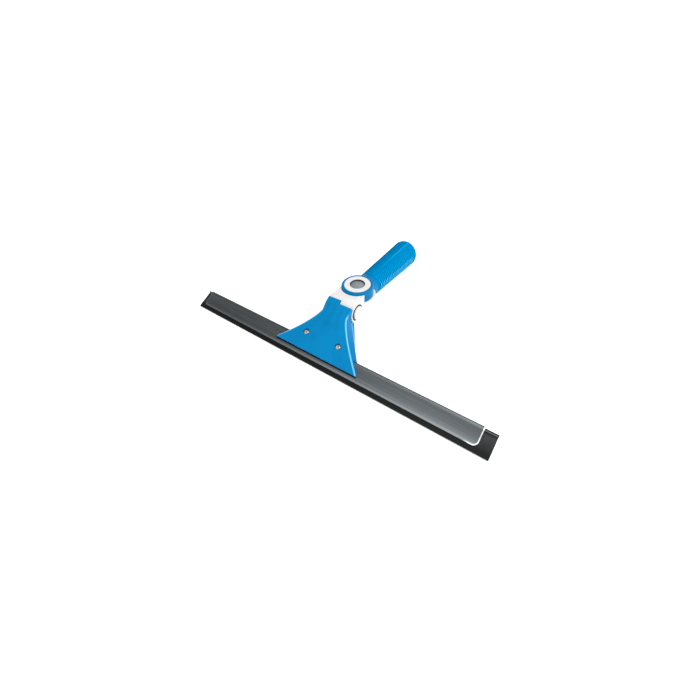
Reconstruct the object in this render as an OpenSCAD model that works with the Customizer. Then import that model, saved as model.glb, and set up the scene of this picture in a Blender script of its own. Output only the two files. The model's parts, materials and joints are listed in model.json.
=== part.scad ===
// Window cleaning squeegee: a rubber blade in a metal channel, a fan-shaped clamp on a tilting hinge,
// and a handle that swivels on a white knuckle with a release button in its middle.
// It rests on a table (z = 0) on the edge of its rubber and the end of its handle.
// The blade runs along X, the handle points along +Y.

/* [Blade] */
// Length of the metal channel
channel_len = 350; // [250:5:450]
// Rubber that sticks out past the channel's left end
rubber_over_left = 5.5; // [2:0.5:15]
// Rubber that sticks out past the channel's right end
rubber_over_right = 12; // [2:0.5:15]
// Height of the rubber from its edge to the top of its bead
rubber_h = 23.3; // [22:0.1:24]
// Half the thickness of the rubber at its wiping edge
edge_half = 1.0; // [0.8:0.1:1.2]
// Height of rubber left bare below the channel
bare_rubber = 5; // [4:0.5:7]
// Radius of the channel's lower corners
channel_corner_r = 5; // [1:0.5:8]

/* [Clamp] */
// Half the width of the clamp where it grips the channel
fan_half = 53; // [40:1:65]
// Half the width of the clamp at its waist
waist_half = 16; // [15.8:0.1:18]
// Half the width of the clamp at the hinge
cheek_half = 17; // [16.5:0.1:18.5]
// Distance from the rubber's edge up to the clamp's lower edge
clamp_low = 10.7; // [9:0.1:12]
// Distance from the rubber's edge up to the waist
waist_y = 58; // [54:0.5:60]
// Half the distance between the two clamp screws
screw_half = 21; // [16:0.5:26]
// Distance from the rubber's edge up to the screws
screw_y = 29.2; // [28:0.1:32]

/* [Hinge] */
// Distance from the rubber's edge to the hinge, along the blade's plane
hinge_reach = 73.8; // [72:0.1:76]
// Distance of the hinge in front of the blade's middle plane
hinge_lift = 2.9; // [2:0.1:4]
// Height of the hinge above the table
hinge_z = 31; // [29:0.1:33]
// Distance of the hinge from the swivel axis
hinge_out = 27; // [26:0.1:29]
// Radius of the white hinge barrel
barrel_r = 11.3; // [10.8:0.1:11.8]
// Half the width of the white barrel and deck
deck_half = 15.5; // [15:0.1:15.8]
// Half the length of the barrel with its end bosses
barrel_half = 17.2; // [16.5:0.1:18]
// Radius of the hinge pin
pin_r = 3; // [2.5:0.1:3.2]

/* [Swivel] */
// Outer radius of the handle's ring
ring_r = 18.2; // [17.8:0.1:18.6]
// Height of the top of the handle's ring
ring_top = 44.8; // [44:0.1:46]
// Height of the underside of the handle's ring
ring_low = 32.5; // [32:0.1:33]
// Radius of the white cap in the ring
cap_r = 14.9; // [14.5:0.1:15]
// Radius of the knuckle's lower disc
disc_r = 20.5; // [19.5:0.1:21]
// Radius of the button
button_r = 8.55; // [8.3:0.05:8.6]
// Travel of the button
button_travel = 2.2; // [1.5:0.1:2.2]

/* [Handle] */
// Angle at which the handle falls away from the ring
handle_droop = 5.8; // [4:0.1:7]
// Angle at which the handle is turned on the swivel
handle_turn = 1; // [0:0.5:5]
// Distance along the handle from the swivel axis to the front of the grip
grip_start = 24; // [23:0.5:27]
// Distance along the handle from the swivel axis to the widest part of the grip
grip_end = 123.2; // [100:0.1:130]
// Radius of the grip at its front
grip_front_r = 14.6; // [14:0.1:15.5]
// Radius of the grip at its widest part
grip_end_r = 18.2; // [17.5:0.1:21]
// Radius of the rounding at the end of the grip
grip_round_r = 4; // [3:0.5:7]
// Radius of the pole socket
socket_r = 10.5; // [9:0.1:11]
// Depth of the pole socket
socket_depth = 55; // [40:1:65]

/* [Hidden] */
$fn = 64;
eps = 0.01;
far = 60;

// Channel and rubber, across the blade's plane
sheet = 0.9;
rubber_half = 1.3;
channel_gap = 1.4;
bead_half = 2.3;
bead_h = 2.8;
channel_half = channel_gap + sheet;
spine_half = bead_half + 0.1 + sheet;
channel_top = rubber_h + 0.1 + sheet;
channel_pin_r = 1.5;
channel_pin_y = 14;

// Clamp, seen from the side: its front rises from the channel to the hinge
clamp_front_low = 4.6;
clamp_front_high = 15.5;
clamp_front_y = 68;
clamp_rear_low = -4.6;
clamp_rear_high = -9;
rear_flat_y = channel_top + 4;
flank_power = 1.29;
front_power = 1.25;
seam_base_half = 53.8;
seam_waist_half = 18.7;
seam_slope = 0.8;
rear_waist_half = 21.1;
rear_slope = 0.67;
fan_steps = 14;
long_lip_y = 74.5;
short_lip_y = 70;
rear_lip_y = 64.3;
lip_split_x = -0.3;
seat_r = barrel_r + 0.3;
screw_r = 1.5;
screw_head_r = 2.75;
screw_head_h = 1.6;
head_gap = 0.5;
nut_flat_r = 2.75;
nut_h = 2.4;
nut_pocket_z = -3.6;
cavity_wall = 3;

// Hinge: the tongue swings in a slot in the middle of the barrel
tongue_half = 6;
tongue_r = 8.3;
tongue_thick = 4.4;
slot_half = 6.6;
slot_r = 8.6;
mouth_low = -98;
mouth_high = 33;
running_gap = 0.05;
washer_r = 7.5;
boss_r = barrel_r - 0.4;
sleeve_out_r = 9.2;
sleeve_in_r = 7.6;
sleeve_depth = 3;
sleeve_proud = 0.5;
cap_proud = 2.2;

// Heights in the knuckle and its hub
base_z = hinge_z - barrel_r;
disc_top = ring_low - 0.3;
hub_r = 10;
hub_top = ring_top - 3.3;
ring_floor_top = ring_low + 1.5;
well_r = 12.9;
brake_low = ring_low + 4.2;
brake_web_top = brake_low + 1.8;
brake_top = brake_low + 2.7;
button_low = hub_top + 0.2;
button_top = ring_top - 0.5;
dish_depth = 1.2;
button_bore_r = button_r + 0.06;
spoke_w = 3;
stem_r = 6.2;
plug_r = 6.5;
plug_top = base_z + 5.5;
spring_r = 4;
spring_wire_r = 0.45;
spring_turns = 6;

// Blade tilt and handle height that put both ends of the squeegee on the table
blade_drop = hinge_lift + edge_half;
blade_tilt = asin(hinge_z / norm([hinge_reach, blade_drop])) - atan2(blade_drop, hinge_reach);
handle_z = grip_end * sin(handle_droop) + (grip_end_r - grip_round_r) * cos(handle_droop) + grip_round_r;
handle_len = grip_end + grip_round_r;
core_r = 12;
neck_r = 13.7;

// Middle of the whole squeegee's outline on the table, which is the origin
front_y = (hinge_lift - edge_half) * sin(blade_tilt) - hinge_reach * cos(blade_tilt) - hinge_out;
handle_lean = acos(cos(handle_droop) * cos(handle_turn));
back_y = grip_end * cos(handle_lean) + (grip_end_r - grip_round_r) * sin(handle_lean) + grip_round_r;
middle_x = (rubber_over_right - rubber_over_left) / 2;
middle_y = (front_y + back_y) / 2;

// Points along an arc
function arc(centre, r, from, to, steps = 6) =
    [for (i = [0:steps]) let (a = from + (to - from) * i / steps) centre + r * [cos(a), sin(a)]];

// Half the clamp's width at a distance from the rubber's edge
function flank(y) =
    waist_half + (fan_half - waist_half) * pow((waist_y - y) / (waist_y - clamp_low), flank_power);

// The same, and on up to the cheeks beside the hinge
function cheek_flank(y) = y < waist_y ? flank(y)
    : waist_half + (cheek_half - waist_half) * (y - waist_y) / (hinge_reach - waist_y);

// Half the width where the shells meet, and at the rear shell's widest line; both walls flare
function seam_flank(y) = max(cheek_flank(y) + 0.3,
    min(seam_base_half, seam_waist_half + (waist_y - y) * seam_slope));
function rear_flank(y) = max(cheek_flank(y) + 0.3, rear_waist_half + (waist_y - y) * rear_slope);

// Depth of the clamp's back at a distance from the rubber's edge
function rear_depth(y) = clamp_rear_low + (clamp_rear_high - clamp_rear_low)
    * max(0, min(1, (y - rear_flat_y) / (waist_y - rear_flat_y)));

// Height of the clamp's front at a distance from the rubber's edge
function front_height(y) = clamp_front_low + (clamp_front_high - clamp_front_low)
    * pow((min(y, clamp_front_y) - clamp_low) / (clamp_front_y - clamp_low), front_power);

// The same points left for right, or front for back, in the opposite order
function mirrored(points) = [for (i = [len(points) - 1:-1:0]) [-points[i][0], points[i][1]]];
function flipped(points) = [for (i = [len(points) - 1:-1:0]) [points[i][0], -points[i][1]]];

module placed() {
    translate([-middle_x, -middle_y, 0]) children();
}

// The blade's plane: X along the blade, Y up from the rubber's edge, Z out of its front
module in_blade_plane() {
    translate([0, -hinge_out, hinge_z])
        rotate([blade_tilt, 0, 0])
            translate([0, -hinge_reach, -hinge_lift]) children();
}

// The handle's line: Z along the handle from the swivel axis
module along_handle() {
    rotate([0, 0, handle_turn]) translate([0, 0, handle_z]) rotate([-90 - handle_droop, 0, 0]) children();
}

// A bar along X with its section given in Y and Z
module bar_x(from, to) {
    translate([from, 0, 0]) rotate([90, 0, 90]) linear_extrude(to - from) children();
}

// A round bar along X through the hinge, in the blade's plane
module hinge_round(r, from, to) {
    translate([0, hinge_reach, hinge_lift]) bar_x(from, to) circle(r);
}

module both_ends() {
    children();
    mirror([1, 0, 0]) children();
}

module rubber_section() {
    polygon(concat(
        [[0, -edge_half], [0, edge_half], [2.2, edge_half], [3.4, rubber_half]],
        [[rubber_h - bead_h - 0.9, rubber_half], [rubber_h - bead_h, rubber_half - 0.4]],
        arc([rubber_h - bead_h / 2, bead_half - bead_h / 2], bead_h / 2, 180, 0),
        arc([rubber_h - bead_h / 2, bead_h / 2 - bead_half], bead_h / 2, 0, -180),
        [[rubber_h - bead_h, 0.4 - rubber_half], [rubber_h - bead_h - 0.9, -rubber_half]],
        [[3.4, -rubber_half], [2.2, -edge_half]]
    ));
}

module rubber_blade() {
    color("#23282b") in_blade_plane()
        bar_x(-channel_len / 2 - rubber_over_left, channel_len / 2 + rubber_over_right) rubber_section();
}

// The channel's section: one sheet folded over the bead, with a hem along each lip
module channel_section() {
    outside = concat(
        [[bare_rubber, channel_gap], [bare_rubber, channel_half + 0.3], [bare_rubber + 1.6, channel_half]],
        [[rubber_h - bead_h - 2, channel_half], [rubber_h - bead_h - 0.6, spine_half]],
        arc([channel_top - 2, spine_half - 2], 2, 90, 0)
    );
    inside = [[channel_top - sheet, bead_half + 0.1], [rubber_h - bead_h - 0.2, bead_half + 0.1],
        [rubber_h - bead_h - 1.2, channel_gap]];
    polygon(concat(outside, flipped(outside), flipped(inside), inside));
}

// Outline of the channel seen from the front, with its lower corners rounded
module channel_outline() {
    half = channel_len / 2;
    right = concat(
        arc([half - channel_corner_r, bare_rubber + channel_corner_r], channel_corner_r, -90, 0),
        [[half, channel_top + 1]]
    );
    polygon(concat(right, mirrored(right)));
}

module blade_channel() {
    color("#5e666a") in_blade_plane() difference() {
        intersection() {
            bar_x(-channel_len / 2 - 1, channel_len / 2 + 1) channel_section();
            translate([0, 0, -5]) linear_extrude(10) channel_outline();
        }
        translate([0, channel_pin_y, channel_gap - 0.2]) cylinder(r = channel_pin_r + running_gap, h = 3);
    }
}

module channel_pin() {
    color("#b9bec1") in_blade_plane()
        translate([0, channel_pin_y, channel_gap + 0.1]) cylinder(r = channel_pin_r, h = 2.6);
}

// Solid through cross-sections that all have the same number of points
module loft(sections) {
    count = len(sections[0]);
    last = len(sections) - 1;
    sides = [for (s = [0:last - 1], i = [0:count - 1])
        let (a = s * count + i, b = s * count + (i + 1) % count)
        each [[a, b, a + count], [b, b + count, a + count]]];
    low_end = [for (i = [count - 1:-1:0]) i];
    high_end = [for (i = [0:count - 1]) last * count + i];
    polyhedron([for (section = sections) each section], concat(sides, [low_end, high_end]));
}

// Cross-sections of the clamp from its lower edge to the hinge
function fan_stations(top) = concat(
    [for (i = [0:fan_steps]) clamp_low + (waist_y - clamp_low) * i / fan_steps],
    [for (y = [waist_y + 2.5, waist_y + 5, clamp_front_y, top]) if (y <= top) y]);

module front_body() {
    loft([for (y = fan_stations(long_lip_y))
        let (low = seam_flank(y), high = cheek_flank(y), z = front_height(y))
        [[-low, y, 0], [low, y, 0], [high, y, z], [-high, y, z]]]);
}

module rear_body() {
    loft([for (y = fan_stations(rear_lip_y))
        let (seam = seam_flank(y), side = rear_flank(y), back = side - 1, z = rear_depth(y))
        [[-seam, y, 0], [-side, y, z / 2], [-back, y, z], [back, y, z], [side, y, z / 2], [seam, y, 0]]]);
}

// Room for the channel in the clamp's lower edge
module channel_room() {
    near = channel_half + running_gap;
    wide = spine_half + running_gap;
    side = [[clamp_low - 1, near], [rubber_h - bead_h - 2, near], [rubber_h - bead_h - 0.7, wide],
        [channel_top + running_gap, wide]];
    bar_x(-far, far) polygon(concat(side, flipped(side)));
}

// Hollow inside the fan, between the screws and the waist
module clamp_hollow(depth) {
    low = screw_y + 6;
    high = waist_y - 4;
    linear_extrude(depth)
        polygon([[-flank(low) + cavity_wall + 2, low], [flank(low) - cavity_wall - 2, low],
            [flank(high) - cavity_wall - 1, high], [-flank(high) + cavity_wall + 1, high]]);
}

module at_screws() {
    for (side = [-1, 1]) translate([side * screw_half, screw_y, 0]) children();
}

// Room in the front shell for the tongue's root
module tongue_room() {
    translate([-tongue_half - 0.1, waist_y - 0.1, -1])
        cube([2 * tongue_half + 0.2, hinge_reach - waist_y, hinge_lift + tongue_thick + 1.1]);
}

module front_shell() {
    color("#0082ca") in_blade_plane() difference() {
        front_body();
        channel_room();
        tongue_room();
        hinge_round(seat_r, -far, far);
        translate([lip_split_x, short_lip_y, -1]) cube([far, 20, 30]);
        clamp_hollow(front_height(screw_y + 6) - cavity_wall);
        translate([0, channel_pin_y, -1])
            cylinder(r = channel_pin_r + running_gap, h = channel_gap + 3.7);
        at_screws() {
            translate([0, 0, -1]) cylinder(r = screw_r + running_gap, h = 20);
            translate([0, 0, front_height(screw_y) - screw_head_h])
                cylinder(r = screw_head_r + head_gap, h = 20);
        }
    }
}

// Leaf of the clamp that goes on the hinge pin
module tongue() {
    difference() {
        union() {
            hinge_round(tongue_r, -tongue_half, tongue_half);
            translate([-tongue_half, waist_y, hinge_lift - tongue_thick])
                cube([2 * tongue_half, hinge_reach - waist_y, 2 * tongue_thick]);
        }
        hinge_round(pin_r + running_gap, -tongue_half - 1, tongue_half + 1);
    }
}

module rear_shell() {
    color("#0079bf") in_blade_plane() {
        difference() {
            rear_body();
            channel_room();
            hinge_round(seat_r, -far, far);
            mirror([0, 0, 1]) clamp_hollow(-clamp_rear_low - cavity_wall);
            at_screws() {
                translate([0, 0, -20]) cylinder(r = screw_r + running_gap, h = 21);
                translate([0, 0, nut_pocket_z - 20])
                    cylinder(r = nut_flat_r / cos(30) + 0.1, h = 20, $fn = 6);
            }
        }
        tongue();
    }
}

module clamp_screws() {
    color("#c8cccf") in_blade_plane() at_screws() {
        head_z = front_height(screw_y) - screw_head_h;
        shank_low = nut_pocket_z - nut_h - 0.4;
        difference() {
            union() {
                translate([0, 0, shank_low]) cylinder(r = screw_r, h = head_z + eps - shank_low);
                translate([0, 0, head_z]) cylinder(r = screw_head_r, h = screw_head_h - 0.4);
                translate([0, 0, head_z + screw_head_h - 0.4])
                    cylinder(r1 = screw_head_r, r2 = screw_head_r - 0.6, h = 0.6);
            }
            for (turn = [0, 90]) rotate([0, 0, turn])
                translate([-1.6, -0.35, head_z + screw_head_h - 0.8]) cube([3.2, 0.7, 2]);
        }
    }
}

module clamp_nuts() {
    color("#c8cccf") in_blade_plane() at_screws() difference() {
        translate([0, 0, nut_pocket_z - nut_h]) cylinder(r = nut_flat_r / cos(30), h = nut_h, $fn = 6);
        translate([0, 0, nut_pocket_z - nut_h - 1]) cylinder(r = screw_r, h = nut_h + 2);
    }
}

// Wedge about the hinge axis, open towards the blade
module slot_mouth() {
    reach = 2 * barrel_r;
    span = [for (a = [mouth_low, (mouth_low + mouth_high) / 2, mouth_high]) reach * [-cos(a), sin(a)]];
    bar_x(-slot_half, slot_half) polygon(concat([[0, 0]], span));
}

module at_hinge() {
    translate([0, -hinge_out, hinge_z]) children();
}

// Three spokes seen from above
module spokes(reach, width) {
    for (turn = [90, 210, 330]) rotate(turn) translate([0, -width / 2]) square([reach, width]);
}

// Bore of the hub: a well for the spring, room for the brake's web and a guide for the button
module hub_bores() {
    translate([0, 0, base_z - 1]) cylinder(r = plug_r, h = plug_top - base_z + 1);
    translate([0, 0, plug_top - eps]) cylinder(r = spring_r + spring_wire_r + 0.5, h = hub_top - plug_top);
    translate([0, 0, button_low - button_travel - 0.3]) cylinder(r = button_r + 0.1, h = hub_top);
    translate([0, 0, ring_floor_top]) linear_extrude(hub_top) {
        circle(stem_r + 0.4);
        spokes(hub_r + 1, spoke_w + 0.4);
    }
}

module knuckle() {
    color("#f1f1ee") difference() {
        union() {
            difference() {
                at_hinge() {
                    bar_x(-deck_half, deck_half) {
                        circle(barrel_r);
                        translate([0, -barrel_r]) square([hinge_out, 2 * barrel_r]);
                    }
                    bar_x(-barrel_half, barrel_half) circle(boss_r);
                }
                translate([0, 0, disc_top]) cylinder(r = ring_r + 0.3, h = 20, $fn = 96);
            }
            translate([0, 0, base_z]) cylinder(r = disc_r, h = disc_top - base_z, $fn = 96);
            translate([0, 0, disc_top - eps]) cylinder(r = hub_r, h = hub_top - disc_top + eps);
        }
        hub_bores();
        translate([0, 0, disc_top - 0.8]) difference() {
            cylinder(r = 18, h = 1);
            cylinder(r = 14, h = 1);
        }
        at_hinge() {
            bar_x(-slot_half, slot_half) circle(slot_r);
            slot_mouth();
            bar_x(-far, far) circle(pin_r);
            both_ends() bar_x(barrel_half - sleeve_depth, far) circle(sleeve_out_r);
        }
    }
}

module hub_cap() {
    color("#f6f6f4") difference() {
        union() {
            translate([0, 0, hub_top]) cylinder(r = cap_r, h = ring_top - hub_top - 0.4);
            translate([0, 0, ring_top - 0.4]) cylinder(r1 = cap_r, r2 = cap_r - 0.4, h = 0.4);
            for (turn = [90, 210, 330]) rotate([0, 0, turn])
                translate([button_r, -spoke_w / 2, hub_top - 1.4]) cube([hub_r - button_r, spoke_w, 1.5]);
        }
        translate([0, 0, hub_top - 3]) cylinder(r = button_bore_r, h = 20);
    }
}

module tilt_pin() {
    half = barrel_half - sleeve_depth;
    color("#aeb4b8") at_hinge() bar_x(-half, half) circle(pin_r);
}

module tilt_sleeves() {
    color("#6a7074") at_hinge() both_ends()
        bar_x(barrel_half - sleeve_depth, barrel_half + sleeve_proud) difference() {
            circle(sleeve_out_r);
            circle(sleeve_in_r);
        }
}

module pin_caps() {
    color("#f1f1ee") at_hinge() both_ends()
        bar_x(barrel_half - sleeve_depth, barrel_half + cap_proud) circle(sleeve_in_r - 0.02);
}

module friction_washers() {
    color("#9aa0a4") at_hinge() both_ends()
        bar_x(tongue_half + running_gap, slot_half) difference() {
            circle(washer_r);
            circle(pin_r);
        }
}

module glide_ring() {
    color("#3a3d40") translate([0, 0, disc_top - 0.8]) difference() {
        cylinder(r = 17.9, h = 1);
        translate([0, 0, -1]) cylinder(r = 14.1, h = 3);
    }
}

module spring_plug() {
    color("#d9d9d6") difference() {
        translate([0, 0, base_z + 0.4]) cylinder(r = plug_r - 0.02, h = plug_top - base_z - 0.4);
        translate([-plug_r, -0.6, base_z]) cube([2 * plug_r, 1.2, 1.4]);
    }
}

module swivel_button() {
    dish_r = (pow(button_r - 1, 2) + pow(dish_depth, 2)) / (2 * dish_depth);
    color("#7d868c") difference() {
        union() {
            translate([0, 0, button_low]) cylinder(r = button_r, h = button_top - button_low - 0.4);
            translate([0, 0, button_top - 0.4]) cylinder(r1 = button_r, r2 = button_r - 0.4, h = 0.4);
            translate([0, 0, brake_web_top]) cylinder(r = stem_r, h = button_low - brake_web_top + eps);
        }
        translate([0, 0, button_top - dish_depth + dish_r]) sphere(dish_r, $fn = 96);
    }
}

module lock_ring() {
    color("#4b5054") {
        translate([0, 0, brake_low]) linear_extrude(brake_web_top - brake_low) {
            circle(stem_r);
            spokes(hub_r + 1.4, spoke_w);
        }
        rotate_extrude($fn = 96) polygon([[hub_r + 0.4, brake_low], [well_r - 0.35, brake_low],
            [well_r - 0.35, brake_web_top - 0.2], [well_r - 1.3, brake_top], [hub_r + 0.4, brake_top]]);
    }
}

// One ring of points of the spring's wire
function wire_ring(turn, height, sides) =
    [for (i = [0:sides - 1]) let (a = 360 * i / sides, r = spring_r + spring_wire_r * cos(a))
        [r * cos(turn), r * sin(turn), height + spring_wire_r * sin(a)]];

module button_spring() {
    sides = 8;
    steps = 12 * spring_turns;
    low = plug_top + spring_wire_r;
    high = brake_low - spring_wire_r;
    points = [for (i = [0:steps]) let (part = i / steps)
        each wire_ring(360 * spring_turns * part, low + (high - low) * part, sides)];
    skin = [for (i = [0:steps - 1], j = [0:sides - 1])
        let (a = i * sides + j, b = i * sides + (j + 1) % sides) [a, a + sides, b + sides, b]];
    ends = [[for (j = [0:sides - 1]) j], [for (j = [sides - 1:-1:0]) steps * sides + j]];
    color("#b9bec1") polyhedron(points = points, faces = concat(skin, ends), convexity = 10);
}

// Section of the handle's ring: a floor round the hub, a well with a cone for the brake, a seat for the cap
module ring_section() {
    rim = arc([ring_r - 2, ring_top - 2], 2, 0, 90);
    polygon(concat(
        [[hub_r + 0.06, ring_low], [ring_r, ring_low]],
        rim,
        [[cap_r + 0.06, ring_top], [cap_r + 0.06, hub_top - 0.1], [well_r - 1, hub_top - 0.1]],
        [[well_r - 1, brake_top + 0.4], [well_r, brake_web_top + 0.2]],
        [[well_r, ring_floor_top], [hub_r + 0.06, ring_floor_top]]
    ));
}

module handle_core() {
    color("#0082ca") {
        rotate_extrude($fn = 96) ring_section();
        difference() {
            along_handle() {
                cylinder(r = neck_r, h = grip_start);
                cylinder(r = core_r, h = handle_len - socket_depth);
            }
            translate([0, 0, ring_low - eps]) cylinder(r = ring_r - 1, h = far);
            translate([0, 0, ring_low - far]) cylinder(r = disc_r + 0.4, h = far, $fn = 96);
        }
    }
}

module grip_sleeve() {
    color("#0086cf") along_handle() rotate_extrude($fn = 96)
        polygon(concat(
            [[core_r, grip_start + 0.2], [grip_front_r - 1, grip_start + 0.2]],
            [[grip_front_r, grip_start + 1.2]],
            arc([grip_end_r - grip_round_r, grip_end], grip_round_r, 0, 90, 8),
            [[core_r, handle_len]]
        ));
}

module socket_liner() {
    color("#006cb0") along_handle() translate([0, 0, handle_len - socket_depth]) difference() {
        cylinder(r = core_r, h = socket_depth - 0.5);
        translate([0, 0, -1]) cylinder(r = socket_r, h = socket_depth + 2);
    }
}

placed() rubber_blade();
placed() blade_channel();
placed() channel_pin();
placed() front_shell();
placed() rear_shell();
placed() clamp_screws();
placed() clamp_nuts();
placed() knuckle();
placed() hub_cap();
placed() tilt_pin();
placed() tilt_sleeves();
placed() pin_caps();
placed() friction_washers();
placed() glide_ring();
placed() spring_plug();
placed() swivel_button();
placed() lock_ring();
placed() button_spring();
placed() handle_core();
placed() grip_sleeve();
placed() socket_liner();
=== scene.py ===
"""Window cleaning squeegee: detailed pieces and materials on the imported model, studio light, camera."""

import json
import math

import bmesh
import bpy
from mathutils import Matrix, Vector


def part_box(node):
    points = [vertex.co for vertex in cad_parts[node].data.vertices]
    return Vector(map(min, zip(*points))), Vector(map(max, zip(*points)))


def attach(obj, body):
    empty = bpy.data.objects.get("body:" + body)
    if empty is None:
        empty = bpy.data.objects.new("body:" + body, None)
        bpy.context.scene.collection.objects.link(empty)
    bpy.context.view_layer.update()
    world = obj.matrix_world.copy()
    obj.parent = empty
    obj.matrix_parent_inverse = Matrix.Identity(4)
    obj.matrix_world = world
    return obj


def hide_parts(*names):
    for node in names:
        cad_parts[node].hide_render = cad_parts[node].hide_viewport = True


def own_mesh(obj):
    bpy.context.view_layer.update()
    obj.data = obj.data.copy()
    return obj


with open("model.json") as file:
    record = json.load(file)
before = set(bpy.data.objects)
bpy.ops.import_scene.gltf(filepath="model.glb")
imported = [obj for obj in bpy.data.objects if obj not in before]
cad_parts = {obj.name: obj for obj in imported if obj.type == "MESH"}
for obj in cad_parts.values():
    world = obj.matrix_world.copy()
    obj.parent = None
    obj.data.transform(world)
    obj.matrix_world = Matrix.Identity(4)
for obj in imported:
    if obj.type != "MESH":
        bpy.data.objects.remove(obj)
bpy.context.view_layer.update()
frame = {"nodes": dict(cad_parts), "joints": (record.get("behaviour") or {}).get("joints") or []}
scene = bpy.context.scene
MM = 0.001

# ---------------------------------------------------------------- places that come from the frame
joints = {joint["name"]: joint for joint in frame["joints"]}
hinge = Vector(joints["head_tilt"]["pos_m"])
swivel = Vector((*joints["swivel"]["pos_m"][:2], 0.0))
cap_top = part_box("hub_cap")[1].z
channel_low, channel_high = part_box("blade_channel")

# Driving sizes of the blade's plane and of the handle's line, as the CAD model has them
HINGE_REACH = 73.8 * MM
HINGE_LIFT = 2.9 * MM
EDGE_HALF = 1.0 * MM
HANDLE_DROOP = math.radians(5.8)
HANDLE_TURN = math.radians(1.0)
blade_drop = HINGE_LIFT + EDGE_HALF
blade_tilt = (math.asin(hinge.z / math.hypot(HINGE_REACH, blade_drop))
              - math.atan2(blade_drop, HINGE_REACH))
GRIP_START = 24.2 * MM
GRIP_END = 123.2 * MM
GRIP_FRONT_R = 14.6 * MM
GRIP_END_R = 18.2 * MM
GRIP_ROUND_R = 4 * MM
CORE_R = 12 * MM
CLAMP_LOW = 10.7 * MM
FAN_HALF = 53 * MM
handle_z = (GRIP_END * math.sin(HANDLE_DROOP)
            + (GRIP_END_R - GRIP_ROUND_R) * math.cos(HANDLE_DROOP) + GRIP_ROUND_R)

# Blade plane: X along the blade, Y up from the rubber's edge, Z out of its front
BLADE_PLANE = (Matrix.Translation(hinge) @ Matrix.Rotation(blade_tilt, 4, "X")
               @ Matrix.Translation((0, -HINGE_REACH, -HINGE_LIFT)))
# Handle line: Z along the handle from the swivel axis, Y downwards
HANDLE_LINE = (Matrix.Translation((swivel.x, swivel.y, handle_z))
               @ Matrix.Rotation(HANDLE_TURN, 4, "Z")
               @ Matrix.Rotation(-math.pi / 2 - HANDLE_DROOP, 4, "X"))
SWIVEL_LINE = Matrix.Translation(swivel)


# ---------------------------------------------------------------- small helpers
def smooth_step(low, high, value):
    """0 below low, 1 above high, and an S curve between them."""
    part = max(0.0, min(1.0, (value - low) / (high - low)))
    return part * part * (3 - 2 * part)


def between(rise, fall, value):
    """0 outside, 1 inside, with a smooth rise and a smooth fall; each is a (low, high) pair."""
    return smooth_step(*rise, value) * (1 - smooth_step(*fall, value))


def arc(centre, radius, start, end, steps=6):
    """Points of an arc in a profile; the angles are in degrees."""
    angles = [math.radians(start + (end - start) * i / steps) for i in range(steps + 1)]
    return [(centre[0] + radius * math.cos(a), centre[1] + radius * math.sin(a)) for a in angles]


def new_piece(name, vertices, faces, body, material, place=Matrix.Identity(4), sharp=40, painted_light=None):
    """A mesh piece in the frame, shaded smooth up to the sharp angle, riding on a body."""
    mesh = bpy.data.meshes.new(name)
    mesh.from_pydata([place @ Vector(v) for v in vertices], [], faces)
    # Each point's painted light level: below 0.5 painted shade, above it a painted highlight
    if painted_light:
        layer = mesh.attributes.new("painted_light", "FLOAT", "POINT")
        layer.data.foreach_set("value", painted_light)
    piece = bpy.data.objects.new(name, mesh)
    scene.collection.objects.link(piece)
    finish_mesh(piece, sharp)
    mesh.materials.append(material)
    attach(piece, body)
    return piece


def finish_mesh(piece, sharp):
    """Outward normals, and smooth shading except across edges sharper than the angle."""
    mesh = bmesh.new()
    mesh.from_mesh(piece.data)
    bmesh.ops.remove_doubles(mesh, verts=mesh.verts, dist=1e-7)
    bmesh.ops.recalc_face_normals(mesh, faces=mesh.faces)
    for face in mesh.faces:
        face.smooth = True
    for edge in mesh.edges:
        edge.smooth = len(edge.link_faces) == 2 and edge.calc_face_angle(0) < math.radians(sharp)
    mesh.to_mesh(piece.data)
    mesh.free()


def lathe(name, profile, body, material, place, segments=96, shape=None, sharp=40):
    """Revolves (radius, height) points about Z; shape gives the radius to add and the painted light level.
    """
    rings = len(profile)
    vertices = []
    painted_light = []
    for radius, height in profile:
        for i in range(segments):
            turn = 2 * math.pi * i / segments
            added, painted_level = shape(radius, height, turn) if shape else (0.0, 0.5)
            r = radius + added
            vertices.append((r * math.cos(turn), r * math.sin(turn), height))
            painted_light.append(painted_level)
    faces = []
    for ring in range(rings - 1):
        for i in range(segments):
            j = (i + 1) % segments
            a, b = ring * segments, (ring + 1) * segments
            faces.append((a + i, a + j, b + j, b + i))
    if profile[0] != profile[-1]:
        faces.append(tuple(range(segments))[::-1])
        faces.append(tuple((rings - 1) * segments + i for i in range(segments)))
    return new_piece(name, vertices, faces, body, material, place, sharp, painted_light)


def softened(name, node, body, material, width, angle=32, segments=3, sharp=50):
    """A copy of a CAD node with its edges rounded; it stands for that node."""
    piece = bpy.data.objects.new(name, frame["nodes"][node].data.copy())
    scene.collection.objects.link(piece)
    mesh = bmesh.new()
    mesh.from_mesh(piece.data)
    bmesh.ops.remove_doubles(mesh, verts=mesh.verts, dist=2e-6)
    bmesh.ops.dissolve_limit(mesh, angle_limit=math.radians(0.5), verts=mesh.verts, edges=mesh.edges)
    least = math.radians(angle)
    edges = [e for e in mesh.edges if len(e.link_faces) == 2 and e.calc_face_angle(0) > least]
    bmesh.ops.bevel(mesh, geom=edges, offset=width, segments=segments, profile=0.6,
                    affect="EDGES", clamp_overlap=True)
    mesh.to_mesh(piece.data)
    mesh.free()
    piece.data.materials.clear()
    finish_mesh(piece, sharp)
    piece.data.materials.append(material)
    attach(piece, body)
    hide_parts(node)
    return piece


def cut(piece, cutter):
    """Takes the cutter out of the piece, and removes the cutter."""
    modifier = piece.modifiers.new("cut", "BOOLEAN")
    modifier.operation = "DIFFERENCE"
    modifier.solver = "EXACT"
    modifier.object = cutter
    graph = bpy.context.evaluated_depsgraph_get()
    graph.update()
    result = bpy.data.meshes.new_from_object(piece.evaluated_get(graph))
    piece.modifiers.clear()
    piece.data = result
    bpy.data.objects.remove(cutter)


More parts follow.
